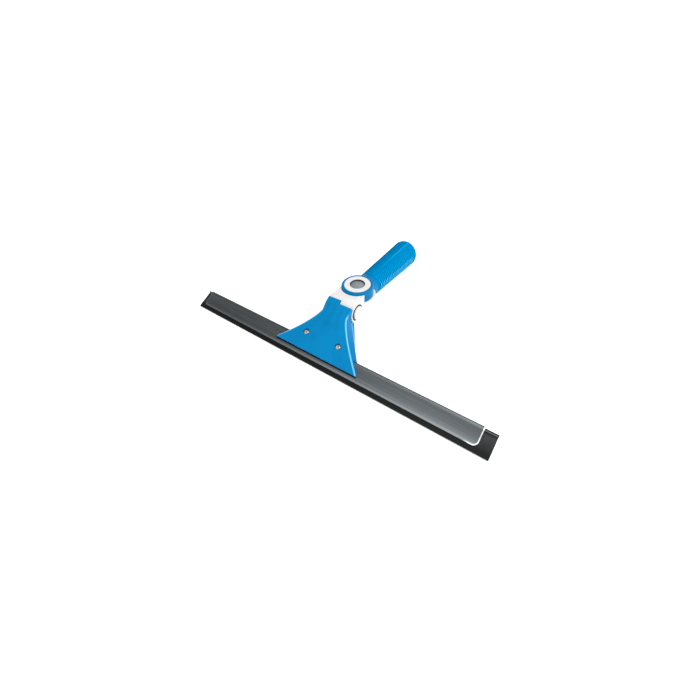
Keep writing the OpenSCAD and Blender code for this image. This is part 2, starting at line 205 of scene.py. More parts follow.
def prism_faces(count):
    """Faces of a prism: its sides between two loops of points, and its two ends."""
    sides = [(i, (i + 1) % count, count + (i + 1) % count, count + i) for i in range(count)]
    return sides + [tuple(range(count))[::-1], tuple(range(count, 2 * count))]


def cutter_prism(vertices, place):
    """A plain prism used only as a cutter; the vertices are its two end loops."""
    mesh = bpy.data.meshes.new("cutter")
    mesh.from_pydata([place @ Vector(v) for v in vertices], [], prism_faces(len(vertices) // 2))
    mesh.update()
    cutter = bpy.data.objects.new("cutter", mesh)
    scene.collection.objects.link(cutter)
    finish_mesh(cutter, 30)
    return cutter


def bar_cutter(outline, start, end, place):
    """A cutter along X whose section is given as (y, z) points."""
    return cutter_prism([(x, y, z) for x in (start, end) for y, z in outline], place)


# ---------------------------------------------------------------- materials
# Bands across the channel and the rubber are (low, high) distances from the rubber's edge
CHANNEL_CORNER_R = 5 * MM
CHANNEL_LOW = 5 * MM
CHANNEL_HALF = (channel_high.x - channel_low.x) / 2
# The lower lip's band is a painted highlight and the spine's band is painted shade
LOWER_LIP_HIGHLIGHT = (CHANNEL_LOW, 6.4 * MM)
SPINE_SHADE = (23.7 * MM, 25 * MM)
# The dark band just below the clamp is a painted shadow of the clamp
CLAMP_SHADOW = (CLAMP_LOW - 1.3 * MM, CLAMP_LOW)
# A narrow painted highlight round the channel's ends, weaker at the left end
END_HIGHLIGHT_WIDTH = 0.75 * MM
END_HIGHLIGHT_SOFT = 0.2 * MM
END_HIGHLIGHT_FADE = 7 * MM
END_HIGHLIGHT_LEFT = 0.12
# The rubber's lowest band and its bead band are painted shade, and the thin line on the bead is a painted
# highlight
RUBBER_LOW_SHADE = (0.0, 5.4 * MM)
BEAD_SHADE = (19.2 * MM, 24 * MM)
BEAD_HIGHLIGHT = (21.0 * MM, 21.5 * MM)


class Nodes:
    """Adds nodes to one material and links them."""

    def __init__(self, name):
        self.material = bpy.data.materials.new(name)
        self.material.use_nodes = True
        self.tree = self.material.node_tree
        self.shader = self.tree.nodes["Principled BSDF"]
        self.place = self.add("ShaderNodeTexCoord").outputs["Object"]

    def add(self, kind, **values):
        node = self.tree.nodes.new(kind)
        for key, value in values.items():
            setattr(node, key, value)
        return node

    def link(self, source, target):
        self.tree.links.new(source, target)

    def stretched(self, scale):
        """Object coordinates with their own scale along each axis."""
        mapping = self.add("ShaderNodeMapping")
        mapping.inputs["Scale"].default_value = scale
        self.link(self.place, mapping.inputs["Vector"])
        return mapping.outputs["Vector"]

    def blade_place(self):
        """Distance along the blade from its middle, and distance up the blade's plane, in metres."""
        mapping = self.add("ShaderNodeMapping", vector_type="TEXTURE")
        mapping.inputs["Location"].default_value = BLADE_PLANE.to_translation()
        mapping.inputs["Rotation"].default_value = BLADE_PLANE.to_euler()
        self.link(self.place, mapping.inputs["Vector"])
        parts = self.add("ShaderNodeSeparateXYZ")
        self.link(mapping.outputs["Vector"], parts.inputs["Vector"])
        return parts.outputs["X"], parts.outputs["Y"]

    def maths(self, operation, first, second=0.0):
        """A math node's value; each input is a socket or a number."""
        node = self.add("ShaderNodeMath", operation=operation)
        for source, socket in zip((first, second), node.inputs):
            if isinstance(source, float):
                socket.default_value = source
            else:
                self.link(source, socket)
        return node.outputs["Value"]

    def band(self, source, limits, soft):
        """1 between two distances, falling to 0 over a soft distance outside them."""
        low, high = limits
        rise = self.range(source, 0, 1, low - soft, low)
        fall = self.range(source, 1, 0, high, high + soft)
        return self.maths("MULTIPLY", rise, fall)

    def noise(self, scale, detail=3, vector=None, roughness=0.55):
        node = self.add("ShaderNodeTexNoise")
        node.inputs["Scale"].default_value = scale
        node.inputs["Detail"].default_value = detail
        node.inputs["Roughness"].default_value = roughness
        self.link(vector or self.place, node.inputs["Vector"])
        return node.outputs["Fac"]

    def ramp(self, source, stops):
        """A colour ramp; stops are (position, colour)."""
        node = self.add("ShaderNodeValToRGB")
        elements = node.color_ramp.elements
        while len(elements) < len(stops):
            elements.new(0.5)
        for element, (position, colour) in zip(elements, stops):
            element.position = position
            element.color = (*colour, 1)
        self.link(source, node.inputs["Fac"])
        return node.outputs["Color"]

    def rising(self, source, start, end):
        """0 below start, 1 above end."""
        return self.ramp(source, [(start, (0, 0, 0)), (end, (1, 1, 1))])

    def falling(self, source, start, end):
        """1 below start, 0 above end."""
        return self.ramp(source, [(start, (1, 1, 1)), (end, (0, 0, 0))])

    def range(self, source, low, high, start=0.0, end=1.0):
        """Maps start to low and end to high, clamped."""
        node = self.add("ShaderNodeMapRange")
        node.inputs["From Min"].default_value = start
        node.inputs["From Max"].default_value = end
        node.inputs["To Min"].default_value = low
        node.inputs["To Max"].default_value = high
        self.link(source, node.inputs["Value"])
        return node.outputs["Result"]

    def mix(self, factor, first, second):
        """The first colour where the factor is 0, and the second where it is 1."""
        node = self.add("ShaderNodeMix", data_type="RGBA")
        self.link(factor, node.inputs["Factor"])
        for source, socket in ((first, node.inputs["A"]), (second, node.inputs["B"])):
            if isinstance(source, tuple):
                socket.default_value = (*source, 1)
            else:
                self.link(source, socket)
        return node.outputs["Result"]

    def edge_wear_and_highlight(self, start, end):
        """1 on sharp outer edges."""
        return self.rising(self.add("ShaderNodeNewGeometry").outputs["Pointiness"], start, end)

    def painted_light(self):
        """The mesh's painted light level: 0 painted shade, 0.5 none, 1 painted highlight."""
        return self.add("ShaderNodeAttribute", attribute_name="painted_light").outputs["Fac"]

    def bump(self, height, strength, distance):
        node = self.add("ShaderNodeBump")
        node.inputs["Strength"].default_value = strength
        node.inputs["Distance"].default_value = distance
        self.link(height, node.inputs["Height"])
        self.link(node.outputs["Normal"], self.shader.inputs["Normal"])

    def set(self, **values):
        """Sets the shader's own sockets."""
        for key, value in values.items():
            self.shader.inputs[key.replace("_", " ")].default_value = value

    def colour(self, source):
        self.link(source, self.shader.inputs["Base Color"])

    def rough(self, source):
        self.link(source, self.shader.inputs["Roughness"])


def moulded_plastic(name, deep, light, rough=(0.3, 0.42), grain=0.25, ior=1.5, edge=None, painted_shade_colour=None):
    """Satin moulded plastic: soft colour drift, fine spark-eroded grain, paler sharp edges that are partly
    rubbed wear and partly a painted highlight.

    With an edge colour as painted highlight and a shade colour as painted shade, it also paints the mesh's
    painted light level.
    """
    made = Nodes(name)
    drift = made.ramp(made.noise(38, 2), [(0.3, deep), (0.7, light)])
    rubbed_and_highlight = tuple(min(1.0, c * 1.2 + 0.02) for c in light)
    # Sharp edges paler, partly rubbed wear and partly a painted highlight
    body = made.mix(made.edge_wear_and_highlight(0.56, 0.72), drift, rubbed_and_highlight)
    # Painted shade where the painted light level is low, a painted highlight in the edge colour where it
    # is high
    if edge:
        painted_level = made.painted_light()
        body = made.mix(made.falling(painted_level, 0.0, 0.48), body, painted_shade_colour)
        body = made.mix(made.rising(painted_level, 0.55, 1.0), body, edge)
    made.colour(body)
    made.rough(made.range(made.noise(420, 4), *rough))
    made.bump(made.noise(2600, 5), grain, 0.12 * MM)
    made.set(IOR=ior, Specular_IOR_Level=0.25)
    return made.material


def end_highlight_border(made, along, height):
    """1 on a narrow border of painted highlight round the channel's right end and lower corner, duller at
    the left end.
    """
    out = made.maths("ABSOLUTE", along)
    past = made.maths("SUBTRACT", out, CHANNEL_HALF - CHANNEL_CORNER_R)
    side = made.maths("MAXIMUM", past)
    below = made.maths("MAXIMUM", made.maths("SUBTRACT", CHANNEL_LOW + CHANNEL_CORNER_R, height))
    square = made.maths("ADD", made.maths("MULTIPLY", side, side), made.maths("MULTIPLY", below, below))
    inner_r = CHANNEL_CORNER_R - END_HIGHLIGHT_WIDTH
    border = made.range(made.maths("SQRT", square), 0, 1, inner_r - END_HIGHLIGHT_SOFT, inner_r)
    broken = made.ramp(made.noise(420, 2), [(0.35, (0.55, 0.55, 0.55)), (0.5, (1, 1, 1))])
    fade = made.maths("MULTIPLY", made.range(past, 0, 1, -END_HIGHLIGHT_FADE, 0.0), broken)
    end = made.range(along, END_HIGHLIGHT_LEFT, 1, -1 * MM, 1 * MM)
    return made.maths("MULTIPLY", border, made.maths("MULTIPLY", fade, end))


def brushed_channel():
    """Dark brushed metal: streaks along the blade, a painted highlight along its lower lip, painted shade
    along its spine, a painted highlight round its ends, paler edges from wear and a painted highlight, and
    a painted shadow below the clamp.
    """
    made = Nodes("brushed_channel")
    streaks = made.noise(1, 6, made.stretched((14, 1500, 1500)), 0.7)
    broad = made.noise(1, 3, made.stretched((5, 240, 240)), 0.5)
    fine = made.ramp(streaks, [(0.3, (0.066, 0.077, 0.083)), (0.72, (0.165, 0.183, 0.19))])
    tone = made.ramp(broad, [(0.25, (0.078, 0.09, 0.096)), (0.75, (0.15, 0.164, 0.169))])
    body = made.mix(made.noise(70, 2), fine, tone)
    along, height = made.blade_place()
    # Painted highlight along the lower lip, painted shade along the spine
    body = made.mix(made.band(height, LOWER_LIP_HIGHLIGHT, 1.4 * MM), body, (0.19, 0.21, 0.22))
    body = made.mix(made.band(height, SPINE_SHADE, 0.5 * MM), body, (0.025, 0.027, 0.03))
    # Painted shadow of the clamp on the channel, just below its edge
    under_clamp = made.band(made.maths("ABSOLUTE", along), (0.0, FAN_HALF), 1 * MM)
    clamp_shadow_mask = made.maths("MULTIPLY", made.band(height, CLAMP_SHADOW, 0.5 * MM), under_clamp)
    body = made.mix(clamp_shadow_mask, body, (0.006, 0.007, 0.008))
    # Painted highlight round the channel's right end and lower corner
    body = made.mix(end_highlight_border(made, along, height), body, (0.92, 0.93, 0.94))
    # Sharp edges paler, partly wear and partly a painted highlight
    made.colour(made.mix(made.edge_wear_and_highlight(0.56, 0.68), body, (0.78, 0.79, 0.8)))
    made.rough(made.range(streaks, 0.34, 0.52))
    made.bump(streaks, 0.22, 0.08 * MM)
    made.set(Metallic=0.85)
    return made.material


def blade_rubber():
    """Matt black rubber with a faint bloom and fine lines along the blade, painted shade on its lowest
    band and on its bead, and a painted highlight line on the bead.
    """
    made = Nodes("blade_rubber")
    cloud = made.ramp(made.noise(90, 4), [(0.35, (0.005, 0.0065, 0.0075)), (0.75, (0.02, 0.024, 0.027))])
    height = made.blade_place()[1]
    # Painted shade on the low band and the bead, a painted highlight line along the bead
    body = made.mix(made.band(height, RUBBER_LOW_SHADE, 0.8 * MM), cloud, (0.002, 0.0025, 0.003))
    body = made.mix(made.band(height, BEAD_SHADE, 0.4 * MM), body, (0.0015, 0.0018, 0.002))
    body = made.mix(made.band(height, BEAD_HIGHLIGHT, 0.3 * MM), body, (0.13, 0.14, 0.15))
    # Sharp edges paler, partly wear and partly a painted highlight
    made.colour(made.mix(made.edge_wear_and_highlight(0.55, 0.7), body, (0.04, 0.046, 0.05)))
    made.rough(made.range(made.noise(600, 4), 0.42, 0.62))
    made.bump(made.noise(1, 4, made.stretched((60, 2200, 2200))), 0.2, 0.1 * MM)
    made.set(Specular_IOR_Level=0.2)
    return made.material


def turned_steel(name, tone, rough):
    """Small steel parts with fine turning marks."""
    made = Nodes(name)
    marks = made.noise(1, 5, made.stretched((900, 5200, 5200)))
    dark = tuple(c * 0.7 for c in tone)
    made.colour(made.mix(marks, dark, tone))
    made.rough(made.range(made.noise(1500, 3), rough, rough + 0.14))
    made.bump(marks, 0.15, 0.05 * MM)
    made.set(Metallic=1.0)
    return made.material


def soft_grip():
    """The grip's blue: matt, with painted shade deep in its grooves, a painted highlight on its ribs and a
    pale painted highlight along its ridge.
    """
    made = Nodes("soft_grip")
    drift = made.ramp(made.noise(55, 3), [(0.3, (0.0, 0.165, 0.385)), (0.7, (0.0, 0.2, 0.44))])
    painted_level = made.painted_light()
    # Painted shade in the grooves, a painted highlight on the rib crests and along the ridge
    grooved = made.mix(made.falling(painted_level, 0.05, 0.5), drift, (0.0, 0.06, 0.18))
    ribbed = made.mix(made.rising(painted_level, 0.62, 0.8), grooved, (0.0, 0.25, 0.5))
    made.colour(made.mix(made.rising(painted_level, 0.93, 0.98), ribbed, (0.2, 0.6, 0.86)))
    made.rough(made.range(made.noise(500, 4), 0.42, 0.56))
    made.bump(made.noise(1900, 5), 0.35, 0.15 * MM)
    made.set(IOR=1.2, Specular_IOR_Level=0.0)
    return made.material


def button_metal():
    """The button's satin painted metal."""
    made = Nodes("button_grey")
    made.colour(made.ramp(made.noise(160, 4), [(0.3, (0.185, 0.215, 0.23)), (0.7, (0.24, 0.27, 0.285))]))
    made.rough(made.range(made.noise(700, 3), 0.18, 0.26))
    made.bump(made.noise(2400, 4), 0.05, 0.03 * MM)
    made.set(Metallic=0.1, IOR=1.5, Specular_IOR_Level=0.7)
    return made.material


def cut_metal():
    """The channel's bright ends, partly bare cut metal and partly a painted highlight, with the marks of
    the saw across them.
    """
    made = Nodes("cut_metal")
    marks = made.noise(1, 5, made.stretched((300, 4000, 1200)))
    made.colour(made.ramp(marks, [(0.3, (0.78, 0.8, 0.81)), (0.7, (0.95, 0.96, 0.97))]))
    made.rough(made.range(marks, 0.35, 0.55))
    made.bump(marks, 0.2, 0.05 * MM)
    made.set(Metallic=0.6)
    return made.material


BLUE = moulded_plastic("blue_plastic", (0.0, 0.145, 0.33), (0.0, 0.165, 0.375), ior=1.2)
# The shells' edge colour is a painted highlight and their other colour is painted shade on the side walls
SHELL_BLUE = moulded_plastic("shell_blue", (0.0, 0.17, 0.39), (0.0, 0.2, 0.45), ior=1.25,
                             edge=(0.14, 0.48, 0.78), painted_shade_colour=(0.0, 0.08, 0.22))
LINER_BLUE = moulded_plastic("liner_blue", (0.0, 0.12, 0.34), (0.0, 0.14, 0.38), ior=1.25)
WHITE = moulded_plastic("white_plastic", (0.62, 0.615, 0.6), (0.68, 0.675, 0.665), (0.3, 0.4), 0.18)
GREY = moulded_plastic("dark_plastic", (0.03, 0.032, 0.035), (0.05, 0.053, 0.056), (0.4, 0.5))
PALE = moulded_plastic("plug_plastic", (0.55, 0.55, 0.53), (0.66, 0.66, 0.64), (0.35, 0.5))
RUBBER = blade_rubber()
CHANNEL = brushed_channel()
STEEL = turned_steel("bright_steel", (0.72, 0.73, 0.74), 0.2)
SCREW_STEEL = turned_steel("screw_steel", (0.58, 0.57, 0.545), 0.2)
# Darker than the steel's own colour: partly painted shade of the gap round the pin caps
SLEEVE_STEEL_AND_SHADE = turned_steel("dark_steel_and_gap_shade", (0.035, 0.038, 0.042), 0.3)
CUT_METAL = cut_metal()
BUTTON = button_metal()
GRIP = soft_grip()

# ---------------------------------------------------------------- clamp shells
# Y values are distances up the blade's plane from the rubber's edge, and a HALF is half a width
WAIST_Y = 58 * MM
WAIST_HALF = 16 * MM
CHEEK_HALF = 17 * MM
FAN_POWER = 1.29
SEAM_BASE_HALF = 53.8 * MM
SEAM_WAIST_HALF = 18.7 * MM
SEAM_SLOPE = 0.8
REAR_WAIST_HALF = 21.1 * MM
REAR_SLOPE = 0.67
FRONT_LOW = 4.6 * MM
FRONT_HIGH = 15.5 * MM
FRONT_POWER = 1.25
FRONT_Y = 68 * MM
REAR_LOW = 4.6 * MM
REAR_HIGH = 9.0 * MM
REAR_FLAT_Y = 28.3 * MM
LONG_LIP_Y = 74.5 * MM
SHORT_LIP_Y = 70 * MM
REAR_LIP_Y = 64.3 * MM
LIP_SPLIT_X = -0.3 * MM
SEAT_R = 11.6 * MM
LIP_ROUND = 1.5 * MM
LIP_REACH = 0.999 * LIP_ROUND
LIP_INSET = 0.35 * LIP_ROUND
LIP_STEPS = 8
BASE_ROUND = 0.7 * MM
BASE_STEPS = 6
WALL_STEPS = 100
SEAM_STEP = 0.3 * MM
SEAM_CHAMFER = 0.3 * MM
SEAM_GAP = 0.25 * MM
FRONT_CROWN = 0.45 * MM
CROWN_START_Y = 30 * MM
FRONT_FLUTE = 0.16 * MM
FLUTE_TURNS = 3.2
FLUTE_RISE = (32 * MM, 48 * MM)
FLUTE_FALL = (64 * MM, 69 * MM)
REAR_CROWN = 0.3 * MM
FRONT_EDGE_BEND = 1.8 * MM
REAR_EDGE_BEND = 1.2 * MM
REAR_RIM_BEND = 1.1 * MM
REAR_RIM_IN = 0.6 * MM
REAR_RIM_OUT = 0.4 * MM
REAR_EDGE_IN = 1 * MM
# Painted light level of a point: 0.5 is unpainted, more is paler as a painted highlight, less is darker as
# painted shade
UNPAINTED_LEVEL = 0.5
WALL_PAINTED_SHADE = 0.3
EDGE_PAINTED_HIGHLIGHT = 0.6
RIM_PAINTED_HIGHLIGHT = 0.8
SHINE_LOSS = 0.7
SHINE_FALL = (WAIST_Y + 1 * MM, WAIST_Y + 7 * MM)


def front_flank(y):
    """Half the width of the front face at a distance from the rubber's edge."""
    if y < WAIST_Y:
        return WAIST_HALF + (FAN_HALF - WAIST_HALF) * ((WAIST_Y - y) / (WAIST_Y - CLAMP_LOW)) ** FAN_POWER
    return WAIST_HALF + (CHEEK_HALF - WAIST_HALF) * (y - WAIST_Y) / (HINGE_REACH - WAIST_Y)


def seam_flank(y):
    """Half the width where the two shells meet."""
    fan = min(SEAM_BASE_HALF, SEAM_WAIST_HALF + (WAIST_Y - y) * SEAM_SLOPE)
    return max(front_flank(y) + SEAM_STEP, fan)


def rear_flank(y):
    """Half the width of the rear shell's widest line."""
    return max(front_flank(y) + SEAM_STEP, REAR_WAIST_HALF + (WAIST_Y - y) * REAR_SLOPE)


def front_height(y):
    """Height of the front shell's face."""
    part = max(0.0, min(1.0, (y - CLAMP_LOW) / (FRONT_Y - CLAMP_LOW)))
    return FRONT_LOW + (FRONT_HIGH - FRONT_LOW) * part ** FRONT_POWER


def rear_depth(y):
    """Depth of the rear shell's face."""
    return REAR_LOW + (REAR_HIGH - REAR_LOW) * smooth_step(REAR_FLAT_Y, WAIST_Y, y)


def flat_points(points, painted_light=UNPAINTED_LEVEL):
    """The points, all with one painted light level."""
    return [(point, painted_light) for point in points]


def highlighted_points(points, start, end, amount):
    """The points, their painted light level going from one value to another, with a painted highlight
    towards the middle of the row.
    """
    last = len(points) - 1
    return [(point, start + (end - start) * i / last + amount * math.sin(math.pi * i / last))
            for i, point in enumerate(points)]


def bend(start, corner, end, reach, steps=7, share=0.45):
    """Points of a smooth bend at the corner of two straight lines, within a share of each."""
    start, corner, end = Vector(start), Vector(corner), Vector(end)
    first = corner + (start - corner).normalized() * min(reach, (start - corner).length * share)
    last = corner + (end - corner).normalized() * min(reach, (end - corner).length * share)
    points = []
    for i in range(steps + 1):
        t = i / steps
        points.append(first * (1 - t) ** 2 + corner * 2 * t * (1 - t) + last * t ** 2)
    return points


def face_points(start, height, crown, flute, steps=24):
    """Points across the shell's face from its edge to its middle, a little proud in the middle."""
    points = []
    for i in range(1, steps + 1):
        x = start * (1 - i / steps)
        across = x / start
        wave = math.cos(across * FLUTE_TURNS * math.pi) * (1 - across ** 2)
        points.append(Vector((x, height + crown * (1 - across ** 2) + flute * wave)))
    return points


def front_section(y, inset):
    """Half the front shell's section: up its flared wall, round the edge, and across its face; the wall
    carries painted shade and the edge a painted highlight that fades above the waist.
    """
    seam = seam_flank(y) - inset - SEAM_GAP
    side = front_flank(y) - inset
    height = front_height(y) - inset
    crown = FRONT_CROWN * smooth_step(CROWN_START_Y, WAIST_Y, y)
    flute = FRONT_FLUTE * between(FLUTE_RISE, FLUTE_FALL, y)
    wall = [Vector((seam - SEAM_CHAMFER, 0.0)), Vector((seam, SEAM_CHAMFER))]
    edge = bend(wall[1], (side, height), (0.0, height), FRONT_EDGE_BEND, 8)
    face = face_points(edge[-1].x, height, crown, flute)
    shine = EDGE_PAINTED_HIGHLIGHT * (1 - SHINE_LOSS * smooth_step(*SHINE_FALL, y))
    return (flat_points(wall, WALL_PAINTED_SHADE) + highlighted_points(edge, WALL_PAINTED_SHADE, UNPAINTED_LEVEL, shine)
            + flat_points(face))


def rear_section(y, inset):
    """Half the rear shell's section: a rounded rim at the seam, then in to its back; the rim carries a
    painted highlight and its wall painted shade.
    """
    seam = seam_flank(y) - inset
    side = rear_flank(y) - inset
    depth = rear_depth(y) - inset
    inner = Vector((seam - REAR_RIM_IN, 0.0))
    widest = Vector((side, depth / 2))
    corner = Vector((side - REAR_EDGE_IN, depth))
    rim = bend(inner, (seam + REAR_RIM_OUT, 0.0), widest, REAR_RIM_BEND, 6)
    wall = bend((seam, 0.0), widest, corner, REAR_EDGE_BEND, 4)
    edge = bend(widest, corner, (0.0, depth), REAR_EDGE_BEND, 4)
    face = face_points(edge[-1].x, depth, REAR_CROWN, 0.0)
    return (flat_points([inner], WALL_PAINTED_SHADE) + highlighted_points(rim, WALL_PAINTED_SHADE, WALL_PAINTED_SHADE, RIM_PAINTED_HIGHLIGHT)
            + flat_points(wall, WALL_PAINTED_SHADE) + flat_points(edge + face))


def clamp_shell(name, node, section, top, side):
    """A lofted clamp shell; side is 1 for the front shell and -1 for the rear one."""
    low, high = CLAMP_LOW + BASE_ROUND, top - LIP_ROUND
    stations = arc((low, BASE_ROUND), BASE_ROUND, 180, 270, BASE_STEPS)[:-1]
    stations += [(low + (high - low) * i / WALL_STEPS, 0.0) for i in range(WALL_STEPS + 1)]
    for i in range(1, LIP_STEPS + 1):
        turn = math.pi / 2 * i / LIP_STEPS
        stations.append((high + LIP_REACH * math.sin(turn), LIP_INSET * (1 - math.cos(turn))))
    rows = []
    painted_light = []
    for y, inset in stations:
        half = section(y, inset)
        mirrored = half[-2::-1]
        rows.append([(p.x, y, side * p.y) for p, _ in half] + [(-p.x, y, side * p.y) for p, _ in mirrored])
        painted_light += [painted_level for _, painted_level in half + mirrored]
    count = len(rows[0])
    vertices = [p for row in rows for p in row]
    faces = []
    for r in range(len(rows) - 1):
        for i in range(count):
            j = (i + 1) % count
            faces.append((r * count + i, r * count + j, (r + 1) * count + j, (r + 1) * count + i))
    faces.append(tuple(range(count)))
    faces.append(tuple((len(rows) - 1) * count + i for i in range(count)))
    piece = new_piece(name, vertices, faces, "blade_head", SHELL_BLUE, BLADE_PLANE, 40, painted_light)
    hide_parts(node)
    return piece


def round_outline(radius, steps=72):
    """A circle round the hinge's axis, as (y, z) points in the blade's plane."""
    return arc((HINGE_REACH, HINGE_LIFT), radius, 0, 360, steps)[:-1]


def box_outline(y_low, y_high, z_low, z_high):
    """A rectangle as (y, z) points."""
    return [(y_low, z_low), (y_high, z_low), (y_high, z_high), (y_low, z_high)]


FAR = 70 * MM
ROOM_NEAR = 2.35 * MM
ROOM_WIDE = 3.35 * MM
ROOM_SIDE = [(CLAMP_LOW - 2 * MM, ROOM_NEAR), (18.5 * MM, ROOM_NEAR), (19.9 * MM, ROOM_WIDE),
             (24.35 * MM, ROOM_WIDE)]
CHANNEL_ROOM = [(y, -z) for y, z in ROOM_SIDE] + ROOM_SIDE[::-1]
SCREW_HALF = 21 * MM
SCREW_Y = 29.2 * MM
SCREW_RECESS_R = 3.25 * MM
SCREW_RECESS_DEPTH = 1.6 * MM
NUT_POCKET_R = 3.27 * MM
NUT_POCKET_FLOOR = -3.6 * MM
CUTTER_TOP = 30 * MM
TONGUE_HALF = 6 * MM
TONGUE_THICK = 4.4 * MM
TONGUE_R = 8.3 * MM


def screw_recess(side, radius, z_low, z_high, steps=32):
    """A cutter on a screw's axis, in the blade's plane: round, or six-sided for a nut."""
    ring = [(side * SCREW_HALF + radius * math.cos(2 * math.pi * i / steps),
             SCREW_Y + radius * math.sin(2 * math.pi * i / steps)) for i in range(steps)]
    return cutter_prism([(x, y, z) for z in (z_low, z_high) for x, y in ring], BLADE_PLANE)


def make_front_shell():
    """The clamp's front: seat for the barrel, room for the channel, stepped lip and screw recesses."""
    piece = clamp_shell("front_clamp", "front_shell", front_section, LONG_LIP_Y, 1)
    cut(piece, bar_cutter(round_outline(SEAT_R), -FAR, FAR, BLADE_PLANE))
    cut(piece, bar_cutter(CHANNEL_ROOM, -FAR, FAR, BLADE_PLANE))
    lip = box_outline(SHORT_LIP_Y, 90 * MM, -1 * MM, CUTTER_TOP)
    cut(piece, bar_cutter(lip, LIP_SPLIT_X, FAR, BLADE_PLANE))
    recess_floor = front_height(SCREW_Y) - SCREW_RECESS_DEPTH
    for side in (-1, 1):
        cut(piece, screw_recess(side, SCREW_RECESS_R, recess_floor, CUTTER_TOP))
    finish_mesh(piece, 35)


def make_rear_shell():
    """The clamp's back: seat for the barrel, room for the channel and two nut pockets."""
    piece = clamp_shell("rear_clamp", "rear_shell", rear_section, REAR_LIP_Y, -1)
    cut(piece, bar_cutter(round_outline(SEAT_R), -FAR, FAR, BLADE_PLANE))
    cut(piece, bar_cutter(CHANNEL_ROOM, -FAR, FAR, BLADE_PLANE))
    for side in (-1, 1):
        cut(piece, screw_recess(side, NUT_POCKET_R, -CUTTER_TOP, NUT_POCKET_FLOOR, 6))
    finish_mesh(piece, 35)


def make_tongue():
    """The leaf on the hinge pin, part of the rear shell."""
    spread = math.degrees(math.asin(TONGUE_THICK / TONGUE_R))
    outline = [(WAIST_Y, HINGE_LIFT - TONGUE_THICK), (WAIST_Y, HINGE_LIFT + TONGUE_THICK)]
    outline += arc((HINGE_REACH, HINGE_LIFT), TONGUE_R, 180 - spread, spread - 180, 40)
    vertices = [(x, y, z) for x in (-TONGUE_HALF, TONGUE_HALF) for y, z in outline]
    new_piece("tongue", vertices, prism_faces(len(outline)), "blade_head", BLUE, BLADE_PLANE)


make_front_shell()
make_rear_shell()
make_tongue()

# ---------------------------------------------------------------- grip
RIB_PITCH = 3.6 * MM
RIB_DEPTH = 0.85 * MM
SCALE_DEPTH = 0.3 * MM
RELIEF_ROOM = 0.45 * MM
RELIEF_RISE = (GRIP_START + 2 * MM, GRIP_START + 6 * MM)
RELIEF_FALL = (GRIP_END - 7 * MM, GRIP_END - 1 * MM)
GRIP_START_R = 1.2 * MM
GRIP_STEPS = 300
GRIP_SEGMENTS = 260
# The ridge stands 13 degrees beside the handle's top. Its width, the scales' turn, the flanks and the
# field between them are in degrees round from it.
RIDGE_TURN = math.radians(-90 + 13)
RIDGE_HEIGHT = 0.45 * MM
RIDGE_WIDTH = 2.2
RIDGE_RISE = (GRIP_START + 22 * MM, GRIP_START + 50 * MM)
RIDGE_FALL = (GRIP_END + 1 * MM, GRIP_END + 3 * MM)
DASH_PITCH = 5 * MM
DASH_DEPTH = 0.08
SCALE_TURN = 16
SCALE_SLANT = 0.3
FLANK_RISE = (54, 66)
FLANK_FALL = (126, 142)
FIELD_RISE = (4, 10)
FIELD_FALL = (60, 70)
# How strongly each is painted into the colour, as shade in its hollows and highlight on its crests
RIB_TONE = 0.5
SCALE_TONE = 0.42
RIDGE_TONE = 0.5


def grip_radius(along):
    """The grip's outer radius before its relief."""
    part = (along - GRIP_START) / (GRIP_END - GRIP_START)
    return GRIP_FRONT_R + (GRIP_END_R - GRIP_FRONT_R) * part


def grip_relief(radius, along, turn):
    """Added radius and painted light level: ribs on both flanks, a field of scales between, and the ridge;
    hollows get painted shade, crests and the ridge a painted highlight.
    """
    if radius < CORE_R + 1 * MM:
        return 0.0, UNPAINTED_LEVEL
    top = (turn - RIDGE_TURN + math.pi) % (2 * math.pi) - math.pi
    side = abs(math.degrees(top))
    ends = between(RELIEF_RISE, RELIEF_FALL, along)
    flank = between(FLANK_RISE, FLANK_FALL, side) * ends
    field = between(FIELD_RISE, FIELD_FALL, side) * ends
    rib = math.cos(2 * math.pi * (along - GRIP_START) / RIB_PITCH)
    row = math.floor(side / SCALE_TURN)
    scale = math.cos(2 * math.pi * (along / RIB_PITCH + 0.5 * row + SCALE_SLANT * side / SCALE_TURN))
    line = math.exp(-(math.degrees(top) / RIDGE_WIDTH) ** 2)
    line *= 1 - DASH_DEPTH + DASH_DEPTH * math.cos(2 * math.pi * along / DASH_PITCH)
    line *= between(RIDGE_RISE, RIDGE_FALL, along)
    added = RIB_DEPTH * (rib - 1) / 2 * flank + SCALE_DEPTH * (scale - 1) / 2 * field
    added += RIDGE_HEIGHT * line - RELIEF_ROOM
    painted_level = UNPAINTED_LEVEL + RIB_TONE * rib * flank + SCALE_TONE * scale * field + RIDGE_TONE * line
    return added, max(0.0, min(1.0, painted_level))


def make_grip():
    """The grip: a rounded front edge, a slow taper with its ribs, scales and ridge, and a rounded end."""
    profile = [(CORE_R, GRIP_START)]
    profile += arc((GRIP_FRONT_R - GRIP_START_R, GRIP_START + GRIP_START_R), GRIP_START_R, -90, 0)
    first = GRIP_START + GRIP_START_R + 0.2 * MM
    rows = [first + (GRIP_END - first) * i / GRIP_STEPS for i in range(GRIP_STEPS + 1)]
    profile += [(grip_radius(along), along) for along in rows]
    profile += arc((GRIP_END_R - GRIP_ROUND_R, GRIP_END), GRIP_ROUND_R, 6, 90, 16)
    profile += [(CORE_R, GRIP_END + GRIP_ROUND_R), (CORE_R, GRIP_START)]
    piece = lathe("ribbed_grip", profile, "handle", GRIP, HANDLE_LINE, GRIP_SEGMENTS, grip_relief, 60)
    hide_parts("grip_sleeve")


make_grip()

